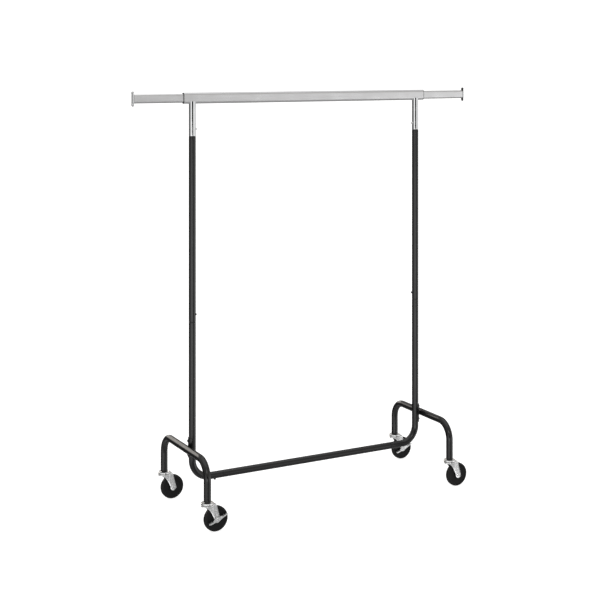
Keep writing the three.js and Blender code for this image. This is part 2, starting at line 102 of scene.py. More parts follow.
# ---- finishes ----
class Finish:
    """A procedural material built round one Principled shader."""

    def __init__(self, name, **shader):
        self.material = bpy.data.materials.new(name)
        self.material.use_nodes = True
        self.tree = self.material.node_tree
        self.shader = self.tree.nodes["Principled BSDF"]
        self.place = self.add("ShaderNodeTexCoord").outputs["Object"]
        for socket, value in shader.items():
            self.shader.inputs[socket.replace("_", " ")].default_value = value

    def add(self, kind, **settings):
        node = self.tree.nodes.new(kind)
        for key, value in settings.items():
            setattr(node, key, value)
        return node

    def link(self, source, target):
        self.tree.links.new(source, target)

    def noise(self, size_mm, detail=2.0, stretch=(1, 1, 1), roughness=0.5):
        """Noise whose features are about size_mm wide, longer along an axis by stretch."""
        scale = self.add("ShaderNodeMapping")
        scale.inputs["Scale"].default_value = [1000 / size_mm / s for s in stretch]
        self.link(self.place, scale.inputs["Vector"])
        node = self.add("ShaderNodeTexNoise")
        node.inputs["Scale"].default_value = 1.0
        node.inputs["Detail"].default_value = detail
        node.inputs["Roughness"].default_value = roughness
        self.link(scale.outputs["Vector"], node.inputs["Vector"])
        return node.outputs["Fac"]

    def span(self, value, out_low, out_high, from_low=0.3, from_high=0.7):
        node = self.add("ShaderNodeMapRange")
        for socket, number in (
            ("From Min", from_low),
            ("From Max", from_high),
            ("To Min", out_low),
            ("To Max", out_high),
        ):
            node.inputs[socket].default_value = number
        self.link(value, node.inputs["Value"])
        return node.outputs["Result"]

    def blend(self, factor, a, b):
        node = self.add("ShaderNodeMix", data_type="RGBA")
        for socket, colour in ((6, a), (7, b)):
            if isinstance(colour, tuple):
                node.inputs[socket].default_value = (*colour, 1)
            else:
                self.link(colour, node.inputs[socket])
        self.link(factor, node.inputs[0])
        return node.outputs[2]

    def product(self, a, b):
        node = self.add("ShaderNodeMath", operation="MULTIPLY")
        self.link(a, node.inputs[0])
        self.link(b, node.inputs[1])
        return node.outputs[0]

    def openness(self, reach_mm):
        """1 in the open, towards 0 in creases narrower than about reach_mm; used as the mask for painted
        shade.
        """
        node = self.add("ShaderNodeAmbientOcclusion", samples=8)
        node.inputs["Distance"].default_value = reach_mm * MM
        return node.outputs["AO"]

    def grazing(self):
        """0 where the surface faces the view, 1 where it is seen edge on."""
        node = self.add("ShaderNodeLayerWeight")
        node.inputs["Blend"].default_value = 0.5
        return node.outputs["Facing"]

    def ridge(self):
        """Above 0.5 where the surface is ridged, below it in hollows; used as the mask for a painted
        highlight.
        """
        return self.add("ShaderNodeNewGeometry").outputs["Pointiness"]

    def colour(self, source):
        self.link(source, self.shader.inputs["Base Color"])

    def gloss(self, source):
        self.link(source, self.shader.inputs["Roughness"])

    def bumps(self, *layers):
        """Layers of (height, depth in mm), each laid over the one before."""
        below = None
        for height, depth in layers:
            node = self.add("ShaderNodeBump")
            node.inputs["Strength"].default_value = 1.0
            node.inputs["Distance"].default_value = depth * MM
            self.link(height, node.inputs["Height"])
            if below:
                self.link(below, node.inputs["Normal"])
            below = node.outputs["Normal"]
        self.link(below, self.shader.inputs["Normal"])


def powder_coat(name):
    f = Finish(name, Specular_IOR_Level=0.5, IOR=1.5)
    patches = f.noise(90, 3)
    grain = f.noise(1.1, 2)
    dust = f.span(f.noise(0.9, 1), 0, 1, 0.70, 0.78)
    f.colour(
        f.blend(
            dust,
            f.blend(f.span(patches, 0, 1), (0.0052, 0.0052, 0.0056), (0.0078, 0.0078, 0.0082)),
            (0.016, 0.016, 0.0165),
        )
    )
    f.gloss(f.span(patches, 0.17, 0.24))
    # Duller edge on than a real powder coat; it darkens the sides by 2 levels of 255 at most.
    f.link(f.span(f.grazing(), 0.5, 0.14, 0.45, 0.9), f.shader.inputs["Specular IOR Level"])
    f.bumps((patches, 0.02), (grain, 0.006))
    return f.material


def chrome(name):
    f = Finish(name, Metallic=1.0)
    haze = f.noise(38, 4)
    wipes = f.noise(2.0, 3, stretch=(1, 1, 14))
    f.colour(f.blend(f.span(haze, 0, 1), (0.80, 0.805, 0.81), (0.86, 0.865, 0.87)))
    f.gloss(f.span(f.product(haze, wipes), 0.03, 0.09, 0.12, 0.42))
    f.bumps((f.noise(26, 2), 0.010), (wipes, 0.0006))
    return f.material


def satin_steel(name):
    f = Finish(name, Metallic=1.0)
    streaks = f.noise(0.55, 3, stretch=(60, 1, 1), roughness=0.65)
    wide = f.noise(5, 2, stretch=(40, 1, 1))
    patches = f.noise(70, 3)
    tone = f.blend(f.span(wide, 0, 1), (0.67, 0.67, 0.675), (0.73, 0.73, 0.735))
    f.colour(f.blend(f.span(streaks, 0, 0.35), tone, (0.80, 0.80, 0.805)))
    f.gloss(f.span(f.product(streaks, patches), 0.27, 0.40, 0.15, 0.38))
    f.bumps((streaks, 0.0035), (patches, 0.012))
    return f.material


def zinc_plate(name):
    f = Finish(name, Metallic=0.86)
    clouds = f.noise(8, 3)
    spots = f.noise(3.4, 3, roughness=0.6)
    tone = f.blend(f.span(clouds, 0, 1), (0.80, 0.81, 0.82), (0.96, 0.96, 0.955))
    tone = f.blend(f.span(spots, 0, 0.8, 0.5, 0.68), tone, (0.46, 0.46, 0.465))
    # Painted shade: the zinc's colour falls to near black in creases and narrow gaps, by how enclosed
    # the surface is.
    f.colour(f.blend(f.span(f.openness(5), 0, 1, 0.15, 0.80), (0.07, 0.07, 0.07), tone))
    f.gloss(f.span(f.product(clouds, spots), 0.12, 0.26, 0.15, 0.38))
    f.bumps((clouds, 0.16), (spots, 0.14))
    return f.material


def bearing_steel(name):
    f = Finish(name, Metallic=1.0)
    film = f.noise(3, 3)
    f.colour(f.blend(f.span(film, 0, 1), (0.34, 0.32, 0.29), (0.62, 0.62, 0.62)))
    f.gloss(f.span(film, 0.12, 0.3))
    f.bumps((film, 0.004))
    return f.material


def moulded_plastic(name):
    f = Finish(name, Specular_IOR_Level=0.5)
    grain = f.noise(0.35, 2)
    patches = f.noise(12, 3)
    f.colour(f.blend(f.span(patches, 0, 1), (0.0050, 0.0050, 0.0053), (0.0085, 0.0085, 0.0088)))
    f.gloss(f.span(patches, 0.38, 0.52))
    f.bumps((grain, 0.012), (patches, 0.03))
    return f.material


def wheel_polymer(name):
    f = Finish(name, Specular_IOR_Level=0.22)
    patches = f.noise(16, 4)
    grain = f.noise(0.5, 2)
    scuffs = f.span(f.noise(2.2, 5, roughness=0.7), 0, 1, 0.56, 0.72)
    worn = f.blend(
        f.product(scuffs, f.span(patches, 0.1, 1)),
        (0.0040, 0.0040, 0.0043),
        (0.0150, 0.0150, 0.0150),
    )
    # Painted highlight: ridges such as the raised shoulder are lightened towards grey, in place of the
    # light they catch.
    f.colour(f.blend(f.span(f.ridge(), 0, 0.8, 0.505, 0.54), worn, (0.040, 0.040, 0.040)))
    f.gloss(f.span(patches, 0.42, 0.58))
    f.bumps((grain, 0.02), (patches, 0.05))
    return f.material


FINISHES = {
    "black_powder_coat": powder_coat("black_powder_coat"),
    "chrome_plate": chrome("chrome_plate"),
    "satin_steel": satin_steel("satin_steel"),
    "zinc_plate": zinc_plate("zinc_plate"),
    "bearing_steel": bearing_steel("bearing_steel"),
    "black_plastic": moulded_plastic("black_plastic"),
    "wheel_polymer": wheel_polymer("wheel_polymer"),
}


# ---- mesh helpers ----
def rounded(corners, closed=False, steps=5):
    """Points through (x, y, radius) corners, each corner turned on its radius."""
    made = []
    count = len(corners)
    for i, (x, y, radius) in enumerate(corners):
        p = np.array([x, y], float)
        if radius <= 0 or (not closed and i in (0, count - 1)):
            made.append(p)
            continue
        a = np.array(corners[i - 1][:2], float) - p
        b = np.array(corners[(i + 1) % count][:2], float) - p
        la, lb = np.linalg.norm(a), np.linalg.norm(b)
        a, b = a / la, b / lb
        half = math.acos(max(-1, min(1, a @ b))) / 2
        if half > math.pi / 2 - 1e-4:
            made.append(p)
            continue
        reach = min(radius / math.tan(half), la * 0.49, lb * 0.49)
        radius = reach * math.tan(half)
        centre = p + (a + b) / np.linalg.norm(a + b) * radius / math.sin(half)
        start, end = p + a * reach - centre, p + b * reach - centre
        first = math.atan2(start[1], start[0])
        turn = math.atan2(end[1], end[0]) - first
        turn = (turn + math.pi) % (2 * math.pi) - math.pi
        for k in range(steps + 1):
            angle = first + turn * k / steps
            made.append(centre + radius * np.array([math.cos(angle), math.sin(angle)]))
    return made


def arc(centre, radius, start, end, steps):
    """Points on an arc, angles in degrees."""
    angles = np.radians(np.linspace(start, end, steps + 1))
    return [np.array(centre, float) + radius * np.array([math.cos(a), math.sin(a)]) for a in angles]


class Shape:
    """Points and faces gathered before they become one mesh."""

    def __init__(self):
        self.points = []
        self.faces = []

    def ring(self, points):
        first = len(self.points)
        self.points += [tuple(p) for p in points]
        return list(range(first, len(self.points)))

    def bridge(self, a, b, wrap=True):
        if len(a) == 1 and len(b) == 1:
            return
        if len(a) == 1 or len(b) == 1:
            pole, ring = (a[0], b) if len(a) == 1 else (b[0], a)
            for i in range(len(ring) if wrap else len(ring) - 1):
                self.faces.append((pole, ring[i], ring[(i + 1) % len(ring)]))
            return
        for i in range(len(a) if wrap else len(a) - 1):
            k = (i + 1) % len(a)
            self.faces.append((a[i], a[k], b[k], b[i]))

    def loft(self, rows, wrap=True, close=False):
        rings = [self.ring(r) for r in rows]
        for a, b in zip(rings, rings[1:]):
            self.bridge(a, b, wrap)
        if close:
            self.bridge(rings[-1], rings[0], wrap)
        return rings

    def fill(self, ring):
        self.faces.append(tuple(ring))


def link(name, mesh):
    obj = bpy.data.objects.new(name, mesh)
    bpy.context.scene.collection.objects.link(obj)
    return obj


def mesh_of(shape, name, crease=35):
    mesh = bpy.data.meshes.new(name)
    mesh.from_pydata([tuple(c * MM for c in p) for p in shape.points], [], shape.faces)
    work = bmesh.new()
    work.from_mesh(mesh)
    bmesh.ops.remove_doubles(work, verts=work.verts, dist=1e-6)
    bmesh.ops.recalc_face_normals(work, faces=work.faces)
    work.to_mesh(mesh)
    work.free()
    soften(mesh, crease)
    return mesh


def soften(mesh, crease):
    mesh.shade_smooth()
    mesh.set_sharp_from_angle(angle=math.radians(crease))


def piece(node, shape, crease=35, modifiers=()):
    """Puts a shape in place of a CAD node, on its body, in its finish."""
    obj = link(f"{node}_skin", mesh_of(shape, f"{node}_skin", crease))
    for kind, settings in modifiers:
        m = obj.modifiers.new(kind.lower(), kind)
        for key, value in settings.items():
            setattr(m, key, value)
    obj.data.materials.append(FINISHES[SLOT_OF[node]])
    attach(obj, BODY_OF[node])
    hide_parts(node)
    return obj


def softened_edges(width_mm, steps=2, angle=40):
    return (
        "BEVEL",
        {
            "width": width_mm * MM,
            "segments": steps,
            "limit_method": "ANGLE",
            "angle_limit": math.radians(angle),
            "harden_normals": False,
        },
    )


def basis(axis):
    """Two directions across an axis, and the axis."""
    w = np.array(axis, float)
    u = np.array([0, 0, 1.0]) if abs(w[2]) < 0.9 else np.array([1.0, 0, 0])
    u = u - w * (u @ w)
    u = u / np.linalg.norm(u)
    return u, np.cross(w, u), w


def turned(profile, origin, axis, sides=48, closed=False, shape=None):
    """A profile of (radius, height) turned about an axis through origin."""
    shape = shape or Shape()
    u, v, w = basis(axis)
    origin = np.array(origin, float)
    angles = np.linspace(0, 2 * math.pi, sides, endpoint=False)
    rows = []
    for r, h in profile:
        centre = origin + w * h
        if r < 1e-6:
            rows.append([centre])
        else:
            rows.append([centre + r * (u * math.cos(a) + v * math.sin(a)) for a in angles])
    shape.loft(rows, close=closed)
    return shape


# ---- tubes ----
def stations(corners, bend_r, extra=()):
    """(point, along) down a path with rounded corners.

    extra are distances from the start at which to add a ring."""
    corners = [np.array(c, float) for c in corners]
    headings = [b - a for a, b in zip(corners, corners[1:])]
    headings = [h / np.linalg.norm(h) for h in headings]
    made = [(corners[0], headings[0])]
    for d in extra:
        made.append((corners[0] + headings[0] * d, headings[0]))
    for i in range(1, len(corners) - 1):
        before, after = headings[i - 1], headings[i]
        turn = math.acos(before @ after)
        start = corners[i] - before * bend_r * math.tan(turn / 2)
        inward = after - before * (after @ before)
        inward = inward / np.linalg.norm(inward)
        centre = start + inward * bend_r
        made.append((start - before * 4, before))
        for k in range(19):
            a = turn * k / 18
            point = centre - inward * bend_r * math.cos(a) + before * bend_r * math.sin(a)
            made.append((point, before * math.cos(a) + inward * math.sin(a)))
        end = made[-1][0]
        made.append((end + after * 4, after))
    made.append((corners[-1], headings[-1]))
    return made


EDGE = 0.35
SHOULDER = 3
HOLE_R = 4.3


def ring_round(point, along, side, radius):
    """A ring about a point, square to along."""
    up = np.cross(along, side)
    angles = np.linspace(0, 2 * math.pi, 48, endpoint=False)
    return [point + radius * (side * math.cos(a) + up * math.sin(a)) for a in angles]


def shoulder():
    """(radius, height) up the rounded shoulder from the tube to its neck."""
    turns = [math.pi / 2 * k / 8 for k in range(9)]
    drop = TUBE_R - NECK_R
    return [(TUBE_R - drop * (1 - math.cos(a)), SHOULDER * math.sin(a)) for a in turns]


def tube(path, wall, side_axis):
    """Round tube along a flat path square to side_axis; wall is (outer, inner) radius."""
    outer, inner = wall
    side = np.array(side_axis, float)
    (p0, t0), (p1, t1) = path[0], path[-1]
    rows = [ring_round(p0, t0, side, outer - EDGE), ring_round(p0 + t0 * EDGE, t0, side, outer)]
    rows += [ring_round(p, t, side, outer) for p, t in path[1:-1]]
    rows += [ring_round(p1 - t1 * EDGE, t1, side, outer), ring_round(p1, t1, side, outer - EDGE)]
    rows += [ring_round(p, t, side, inner) for p, t in reversed(path)]
    shape = Shape()
    shape.loft(rows, close=True)
    return shape


def swaged_tube(origin, axis, length, neck_length, rings):
    """Straight tube from origin whose far end is drawn down to a neck past a shoulder."""
    inner, bore = TUBE_R - WALL, NECK_R - WALL
    end = length + neck_length
    profile = [(inner, 0), (TUBE_R - EDGE, 0), (TUBE_R, EDGE)]
    profile += [(TUBE_R, r) for r in rings if r < length]
    profile += [(radius, length - SHOULDER + rise) for radius, rise in shoulder()]
    profile += [(NECK_R, length + r) for r in (8, 20, 34)]
    profile += [(NECK_R, end - 0.6), (NECK_R - 0.6, end)]
    profile += [(bore, end), (bore, length + 2), (inner, length - SHOULDER)]
    return turned(profile, origin, axis, 48, closed=True)


def bored(obj, origin, axis):
    """Drills a button's hole from origin along axis through one side of a piece."""
    reach = TUBE_R + 3
    cutter_shape = turned([(0, 0), (HOLE_R, 0), (HOLE_R, reach), (0, reach)], origin, axis, 32)
    cutter = link("cutter", mesh_of(cutter_shape, "cutter"))
    m = obj.modifiers.new("hole", "BOOLEAN")
    m.operation = "DIFFERENCE"
    m.solver = "EXACT"
    m.object = cutter
    bpy.context.view_layer.update()
    evaluated = obj.evaluated_get(bpy.context.evaluated_depsgraph_get())
    drilled = bpy.data.meshes.new_from_object(evaluated)
    obj.modifiers.remove(m)
    old = obj.data
    obj.data = drilled
    bpy.data.meshes.remove(old)
    bpy.data.objects.remove(cutter)
    drilled.name = obj.name
    soften(drilled, 35)


def near(z):
    """Ring places round a hole, so that the drilled faces stay small."""
    return [z + d for d in (-9, -6.5, -5, -3.5, -2, -0.7, 0.7, 2, 3.5, 5, 6.5, 9)]


def lower_post(side_name, side):
    node = f"lower_post_{side_name}"
    x = side * POST_X
    seam = MID_SEAM_Z - 0.3
    button = middle(f"post_mid_button_{side_name}")[2]
    rail_button = middle(f"rail_button_{side_name}")
    start = (side * RAIL_SEAM_X, 0, RAIL_Z)
    offset = abs(rail_button[0]) - RAIL_SEAM_X
    path = stations([start, (x, 0, RAIL_Z), (x, 0, seam - 3)], POST_BEND_R, near(offset))
    side_axis = np.array([0, 1.0, 0])
    (p0, t0), (p1, t1) = path[0], path[-1]
    spots = [(p0, t0, TUBE_R - EDGE), (p0 + t0 * EDGE, t0, TUBE_R)]
    spots += [(p, t, TUBE_R) for p, t in path[1:-1]]
    spots += [(p1 + t1 * rise, t1, radius) for radius, rise in shoulder()]
    spots += [
        (p1 + t1 * (SHOULDER + rise), t1, NECK_R) for rise in near(button - seam) if rise > 1
    ]
    spots += [(p1 + t1 * 48.4, t1, NECK_R), (p1 + t1 * 49, t1, NECK_R - 0.6)]
    spots += [(p1 + t1 * 49, t1, NECK_R - WALL), (p1 + t1 * 5, t1, NECK_R - WALL)]
    spots += [(p, t, TUBE_R - WALL) for p, t in reversed(path)]
    shape = Shape()
    shape.loft([ring_round(p, t, side_axis, radius) for p, t, radius in spots], close=True)
    obj = piece(node, shape)
    bored(obj, (x, 0, button), (-side, 0, 0))
    bored(obj, (rail_button[0], 0, RAIL_Z), (0, 0, -1))


def upper_post(side_name, side):
    node = f"upper_post_{side_name}"
    foot = low(node)[2]
    seam = TOP_SEAM_Z - 0.3
    mid_button = middle(f"post_mid_button_{side_name}")[2]
    top_button = middle(f"post_top_button_{side_name}")[2]
    x = side * POST_X
    shape = swaged_tube(
        (x, 0, foot), (0, 0, 1), seam - foot, 46, near(mid_button - foot) + [seam - foot - 12]
    )
    obj = piece(node, shape)
    bored(obj, (x, 0, mid_button), (-side, 0, 0))
    bored(obj, (x, 0, top_button), (-side, 0, 0))


def bar_outline(height, depth):
    """A tall flat oval as (y, z) points about its middle."""
    arc_steps, flats = 20, 4
    r = depth / 2
    rise = height / 2 - r
    points = arc((0, rise), r, 0, 180, arc_steps)
    points += [np.array([-r, rise - 2 * rise * k / flats]) for k in range(1, flats)]
    points += arc((0, -rise), r, 180, 360, arc_steps)
    points += [np.array([r, -rise + 2 * rise * k / flats]) for k in range(1, flats)]
    return points


def oval_rows(height, depth, steps, z):
    """Rings of a flat oval along X; steps are (x, inset)."""
    return [
        [(x, y, z + h) for y, h in bar_outline(height - 2 * inset, depth - 2 * inset)]
        for x, inset in steps
    ]


def chrome_post(side_name, side):
    node = f"chrome_post_{side_name}"
    x = side * POST_X
    button = middle(f"post_top_button_{side_name}")[2]
    inner = TUBE_R - WALL
    foot = TOP_SEAM_Z
    profile = [(inner, 0), (TUBE_R - 0.5, 0), (TUBE_R - 0.12, 0.15), (TUBE_R, 0.6), (TUBE_R, 1.1)]
    profile += [(TUBE_R, r) for r in near(button - foot)]
    profile += [(TUBE_R, r - foot) for r in (1530, 1545, 1552)]
    profile += [(TUBE_R, COPE_Z - foot - 0.5), (TUBE_R - 0.5, COPE_Z - foot)]
    profile += [(inner, COPE_Z - foot)]
    obj = piece(node, turned(profile, (x, 0, foot), (0, 0, 1), 64, closed=True))
    cope = Shape()
    rings = cope.loft(
        oval_rows(BAR_H + 0.4, BAR_D + 0.4, ((x - 20, 0), (x + 20, 0)), BAR_Z)
    )
    cope.fill(rings[0])
    cope.fill(rings[-1])
    cutter = link("cope", mesh_of(cope, "cope"))
    m = obj.modifiers.new("cope", "BOOLEAN")
    m.operation = "DIFFERENCE"
    m.solver = "EXACT"
    m.object = cutter
    bpy.context.view_layer.update()
    evaluated = obj.evaluated_get(bpy.context.evaluated_depsgraph_get())
    coped = bpy.data.meshes.new_from_object(evaluated)
    obj.modifiers.remove(m)
    old, obj.data = obj.data, coped
    bpy.data.meshes.remove(old)
    bpy.data.objects.remove(cutter)
    coped.name = obj.name
    soften(coped, 35)
    bored(obj, (x, 0, button), (-side, 0, 0))


def bead(name, path, radius, slot, body):
    """A weld bead: a thick line round a closed path, swelling with each dab of the torch."""
    points = [np.array(p, float) for p in path]
    lump = 0.12
    rows = []
    for i, p in enumerate(points):
        along = points[(i + 1) % len(points)] - points[i - 1]
        along = along / np.linalg.norm(along)
        u, v, _ = basis(along)
        r = radius * (1 + lump * math.sin(i * 2.1) + lump * 0.6 * math.sin(i * 0.9 + 1))
        rows.append(
            [
                p + r * (u * math.cos(a) + v * math.sin(a))
                for a in np.linspace(0, 2 * math.pi, 10, endpoint=False)
            ]
        )
    shape = Shape()
    shape.loft(rows, close=True)
    obj = link(name, mesh_of(shape, name, 80))
    obj.data.materials.append(FINISHES[slot])
    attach(obj, body)
    return obj


def bottom_rail():
    half = RAIL_SEAM_X - 0.3
    button = abs(middle("rail_button_right")[0])
    outer = [(TUBE_R, x) for x in (0, 60, 120, 180, 240, 300, 350)]
    outer += [(radius, half - SHOULDER + rise) for radius, rise in shoulder()]
    outer += [(NECK_R, x) for x in near(button) if x > half + 1]
    outer += [(NECK_R, half + 47.4), (NECK_R - 0.6, half + 48)]
    inner = [(NECK_R - WALL, half + 48), (NECK_R - WALL, half + 2), (TUBE_R - WALL, half - 3)]
    right = outer + inner
    left = [(r, -h) for r, h in reversed(right)]
    profile = right + [(TUBE_R - WALL, 0)] + left[:-1]
    obj = piece("bottom_rail", turned(profile, (0, 0, RAIL_Z), (1, 0, 0), 48, closed=True))
    for side in (-1, 1):
        bored(obj, (side * button, 0, RAIL_Z), (0, 0, -1))


# How far a dome stands past the CAD pin, where the view shows more or less of it than usual.
BUTTON_RISE = {"post_mid_button_left": 0.0, "post_mid_button_right": 2.0}


def snap_button(node, axis):
    """Domed pin; axis points out of the tube, and the pin is drawn from the tube's own axis."""
    low_corner, high_corner = low(node), high(node)
    w = np.array(axis, float)
    tip = max(low_corner @ w, high_corner @ w)
    origin = (low_corner + high_corner) / 2
    origin = origin - w * (origin @ w) + w * tip
    rise = BUTTON_RISE.get(node, 1.0)
    profile = [(0, -10.3), (5.2, -10.3), (5.2, -9.1), (4, -9.1)]
    dome = rounded([(4, -9, 0), (4, rise - 0.1, 2.2), (0, rise, 0)], steps=8)
    profile += [(r, h) for r, h in dome][1:]
    piece(node, turned(profile, origin, axis, 32))


for side_name, side in SIDES.items():
    lower_post(side_name, side)
    upper_post(side_name, side)
    chrome_post(side_name, side)
    for which in ("top", "mid"):
        snap_button(f"post_{which}_button_{side_name}", (-side, 0, 0))
    snap_button(f"rail_button_{side_name}", (0, 0, -1))
bottom_rail()


# ---- hanging bar, its bushes, pull-out ends and end stops ----
def flat_oval_tube(node, height, depth):
    lip = 0.3
    x0, x1 = low(node)[0], high(node)[0]
    marks = [x0 + (x1 - x0) * k / 12 for k in range(1, 12)]
    steps = [(x0, lip), (x0 + lip, 0)] + [(x, 0) for x in marks] + [(x1 - lip, 0), (x1, lip)]
    steps += [(x1, WALL)] + [(x, WALL) for x in reversed(marks)] + [(x0, WALL)]
    shape = Shape()
    shape.loft(oval_rows(height, depth, steps, BAR_Z), close=True)
    return piece(node, shape)


flat_oval_tube("hanging_bar", BAR_H, BAR_D)


def bar_bush(side_name, side):
    node = f"bar_bush_{side_name}"
    out = max(abs(low(node)[0]), abs(high(node)[0]))
    flange = abs(BAR_HIGH[0]) + 0.3
    sleeve = BAR_D / 2 - EXT_D / 2 - 0.3
    lap = WALL + 0.3
    deep = flange - 24
    steps = [
        (deep, lap + 0.4),
        (deep + 0.6, lap),
        (flange, lap),
        (flange, 0.25),
        (flange + 0.25, 0),
        (out - 0.7, 0),
        (out - 0.2, 0.25),
        (out, 0.8),
        (out, sleeve - 0.5),
        (out - 0.5, sleeve),
        (deep, sleeve),
    ]
    rows = oval_rows(BAR_H, BAR_D, [(side * x, inset) for x, inset in steps], BAR_Z)
    shape = Shape()
    shape.loft(rows, close=True)
    piece(node, shape)


def end_stop(side_name, side):
    """Plated plate over a dark plastic backing whose spigot sits in the tube."""
    node = f"end_stop_{side_name}"
    out = max(abs(low(node)[0]), abs(high(node)[0]))
    height = high(node)[2] - low(node)[2]
    depth = high(node)[1] - low(node)[1]
    face = out - 6
    # The backing itself is real. Drawing it thicker on the right than on the left is a painted dark
    # reflection: its black band stands in for the dark mirrored on the right stop's inner face.
    parting = out - (4.8 if side < 0 else 3.4)

    def disc(corners, shape):
        steps = [(side * x, inset) for x, inset in rounded(corners, steps=6)]
        rings = shape.loft(oval_rows(height, depth, steps, BAR_Z))
        return rings

    plate = Shape()
    rings = disc([(parting + 0.05, 3, 0), (parting + 0.05, 0, 0.2), (out, 0, 1.9), (out, 3.2, 0)], plate)
    plate.fill(rings[0])
    plate.fill(rings[-1])
    piece(node, plate)

    backing = Shape()
    rings = disc([(face, 3.2, 0), (face, 0.2, 0.4), (parting, 0.2, 0.1), (parting, 3, 0)], backing)
    backing.fill(rings[-1])
    inset = 2 * (WALL + 0.3)
    steps = [(side * face, 0), (side * (face - 13), 0), (side * (face - 14), 1)]
    spigot = backing.loft(oval_rows(EXT_H - inset, EXT_D - inset, steps, BAR_Z))
    backing.bridge(rings[0], spigot[0])
    backing.fill(spigot[-1])
    mesh = mesh_of(backing, f"end_stop_backing_{side_name}")
    obj = link(mesh.name, mesh)
    obj.data.materials.append(FINISHES["black_plastic"])
    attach(obj, BODY_OF[node])
    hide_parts(node)


for side_name, side in SIDES.items():
    bar_bush(side_name, side)
    flat_oval_tube(f"bar_extension_{side_name}", EXT_H, EXT_D)
    end_stop(side_name, side)


# ---- end frames, saddles and bolts ----
def end_frame(side_name, side):
    node = f"end_frame_{side_name}"
    x = side * FRAME_X
    corners = [
        (x, -LEG_Y, LEG_END_Z),
        (x, -LEG_Y, FRAME_TOP_Z),
        (x, LEG_Y, FRAME_TOP_Z),
        (x, LEG_Y, LEG_END_Z),
    ]
    path = stations(corners, FRAME_BEND_R, (6, 30))
    piece(node, tube(path, (TUBE_R, TUBE_R - WALL), (1, 0, 0)))


def saddle_plate(side_name, side):
    node = f"saddle_plate_{side_name}"
    bottom, top = low(node)[2], high(node)[2]
    height = top - bottom
    inner, outer = TUBE_R + 0.3, TUBE_R + 2.9
    widest = math.radians(70)
    corner = 8.0
    zs = [0, 0.4, 1.2, 2.4, 4, 6, 8] + [8 + (height - 16) * k / 8 for k in range(1, 8)]
    zs += [height - z for z in (8, 6, 4, 2.4, 1.2, 0.4, 0)]
    rows_out, rows_in = [], []
    for z in zs:
        d = corner - min(z, height - z)
        cut = corner - math.sqrt(max(corner**2 - d**2, 0)) if d > 0 else 0
        reach = widest - cut / outer
        angles = np.linspace(-reach, reach, 25)
        for rows, r in ((rows_out, outer), (rows_in, inner)):
            rows.append(
                [
                    (side * (POST_X + r * math.cos(a)), r * math.sin(a), bottom + z)
                    for a in angles
                ]
            )
    shape = Shape()
    out_rings = shape.loft(rows_out, wrap=False)
    in_rings = shape.loft(rows_in, wrap=False)
    shape.bridge(out_rings[0], in_rings[0], wrap=False)
    shape.bridge(out_rings[-1], in_rings[-1], wrap=False)
    for end in (0, -1):
        shape.bridge([r[end] for r in out_rings], [r[end] for r in in_rings], wrap=False)
    piece(node, shape, modifiers=[softened_edges(0.6)])
    centre = side * (POST_X + outer + 0.15)
    ring = []
    for k in range(44):
        a = 2 * math.pi * k / 44
        y, z = 7.5 * math.cos(a), 6.6 * math.sin(a)
        post_side = outer - math.sqrt(outer**2 - y**2)
        frame_side = TUBE_R - math.sqrt(TUBE_R**2 - z**2)
        ring.append((centre + side * (frame_side - post_side) / 2, y, FRAME_TOP_Z + z))
    bead(f"saddle_weld_{side_name}", ring, 1.5, "black_powder_coat", BODY_OF[node])


def saddle_bolt(node, side):
    """Domed head with a hexagonal socket."""
    centre = middle(node)
    tip = high(node)[0] if side > 0 else low(node)[0]
    seat = abs(tip) - 3.8
    u, v, w = basis((side, 0, 0))
    origin = np.array([0, centre[1], centre[2]])
    sides = 36
    shape = Shape()

    def ring(r, x, hexagon=False):
        points = []
        for k in range(sides):
            a = 2 * math.pi * k / sides
            reach = r
            if hexagon:
                reach = r / math.cos((a % (math.pi / 3)) - math.pi / 6)
            points.append(origin + w * x + reach * (u * math.cos(a) + v * math.sin(a)))
        return points

    rows = [ring(0.01, seat - 12), ring(3, seat - 12), ring(3, seat), ring(5.2, seat)]
    dome = [(5.2, 0, 0), (5.5, 0.2, 0.2), (5.5, 1.3, 1.2), (4.0, 3.2, 2.0), (2.9, 3.7, 0)]
    dome = rounded(dome, steps=4)
    rows += [ring(r, seat + h) for r, h in dome[1:]]
    rows += [ring(2.05, seat + 3.65, True), ring(2.0, seat + 1.6, True)]
    rings = shape.loft(rows)
    shape.fill(rings[0])
    shape.fill(rings[-1])
    piece(node, shape, crease=30)


for side_name, side in SIDES.items():
    end_frame(side_name, side)
    saddle_plate(side_name, side)
    for where in ("upper", "lower"):
        saddle_bolt(f"saddle_bolt_{where}_{side_name}", side)


# ---- casters ----
CROWN_Z = 102.5
CROWN_R = 23.5
CROWN_BACK = 30.5
CAP_TOP_Z = 110.4
CAP_R = 23.9
SHEET = 2.0
PANEL_Y = 14.3
LEAD_X = -20.5


def leg_plug(node, x, y):
    z = LEG_END_Z
    profile = rounded(
        [
            (5.3, z - 4.4, 0),
            (12.6, z - 4.4, 0.6),
            (TUBE_R, z - 3.4, 0.7),
            (TUBE_R, z - 0.3, 0.2),
            (NECK_R, z - 0.3, 0),
            (NECK_R, z + 30, 0.8),
            (5.3, z + 30, 0),
        ],
        steps=4,
    )
    piece(node, turned(profile, (x, y, 0), (0, 0, 1), 48, closed=True))


